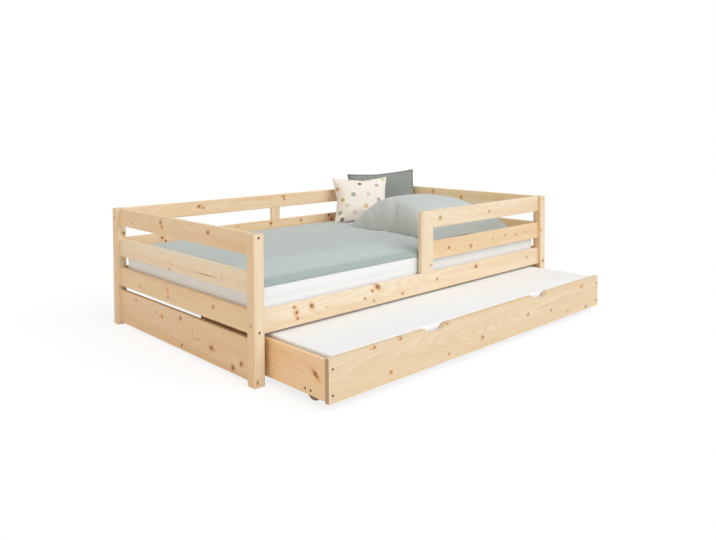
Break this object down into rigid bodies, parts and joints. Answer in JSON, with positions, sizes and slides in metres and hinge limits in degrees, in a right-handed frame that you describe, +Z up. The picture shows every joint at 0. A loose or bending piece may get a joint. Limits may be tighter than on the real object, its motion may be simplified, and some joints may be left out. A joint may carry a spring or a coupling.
{
  "type": "kids bed with guard rail and trundle",
  "caption": "Low pine kids bed with a half-length guard, bedding, and a wheeled trundle bed that rolls out from under the front.",
  "frame": {"origin": "centre of the whole part's outline on the floor, with the trundle pulled out as pictured", "axes": "+X along the bed towards the head end, +Y towards the bed's back (the trundle rolls out to -Y), +Z up"},
  "size_m": [2.08, 1.635, 0.7255],
  "materials": {
    "pine": "clear satin lacquer",
    "bolt_steel": "zinc plated",
    "plate_steel": "zinc plated",
    "wheel_plastic": "moulded",
    "webbing": "woven",
    "mattress_cover": "knitted cover",
    "trundle_mattress_cover": "knitted cover",
    "duvet_cover": "washed cotton",
    "pillow_cover": "washed cotton",
    "dotted_cover": "printed cotton",
    "piped_cover": "washed cotton"
  },
  "bodies": {
    "bed_frame": {"post_front_left": "pine", "post_front_right": "pine", "post_back_left": "pine", "post_back_right": "pine", "foot_end_top_rail": "pine", "foot_end_mid_rail": "pine", "foot_end_bottom_rail": "pine", "foot_end_skirt_panel": "pine", "head_end_top_rail": "pine", "head_end_mid_rail": "pine", "head_end_bottom_rail": "pine", "head_end_skirt_panel": "pine", "side_rail_front": "pine", "side_rail_back": "pine", "back_mid_rail": "pine", "back_top_rail": "pine", "back_spacer_block": "pine", "guard_upright": "pine", "guard_top_rail": "pine", "guard_mid_rail": "pine", "slat_ledger_front": "pine", "slat_ledger_back": "pine", "bed_slats": "pine", "slat_webbing": "webbing", "connector_bolts": "bolt_steel", "mattress": "mattress_cover", "duvet": "duvet_cover", "pillow": "pillow_cover", "dotted_cushion": "dotted_cover", "piped_cushion": "piped_cover"},
    "trundle": {"trundle_front_board": "pine", "trundle_back_board": "pine", "trundle_side_left": "pine", "trundle_side_right": "pine", "trundle_ledger_front": "pine", "trundle_ledger_back": "pine", "trundle_slats": "pine", "trundle_mattress": "trundle_mattress_cover", "wheel_plates": "plate_steel", "wheel_axle_pins": "bolt_steel"},
    "wheel_front_left": {"wheel_front_left": "wheel_plastic"},
    "wheel_front_right": {"wheel_front_right": "wheel_plastic"},
    "wheel_back_left": {"wheel_back_left": "wheel_plastic"},
    "wheel_back_right": {"wheel_back_right": "wheel_plastic"}
  },
  "joints": [
    {"name": "trundle_slide", "type": "slide", "parent": "bed_frame", "child": "trundle", "axis": [0, -1, 0], "range_m": [-0.38, 0.515]},
    {"name": "wheel_front_left_spin", "type": "hinge", "parent": "trundle", "child": "wheel_front_left", "pos_m": [-0.9305, -0.6905, 0.045], "axis": [1, 0, 0], "continuous": true},
    {"name": "wheel_front_right_spin", "type": "hinge", "parent": "trundle", "child": "wheel_front_right", "pos_m": [0.9305, -0.6905, 0.045], "axis": [1, 0, 0], "continuous": true},
    {"name": "wheel_back_left_spin", "type": "hinge", "parent": "trundle", "child": "wheel_back_left", "pos_m": [-0.9305, -0.0645, 0.045], "axis": [1, 0, 0], "continuous": true},
    {"name": "wheel_back_right_spin", "type": "hinge", "parent": "trundle", "child": "wheel_back_right", "pos_m": [0.9305, -0.0645, 0.045], "axis": [1, 0, 0], "continuous": true}
  ],
  "couplings": [
    {"joint": "wheel_front_left_spin", "follows": "trundle_slide", "rad_per_m": 22.222},
    {"joint": "wheel_front_right_spin", "follows": "trundle_slide", "rad_per_m": 22.222},
    {"joint": "wheel_back_left_spin", "follows": "trundle_slide", "rad_per_m": 22.222},
    {"joint": "wheel_back_right_spin", "follows": "trundle_slide", "rad_per_m": 22.222}
  ]
}
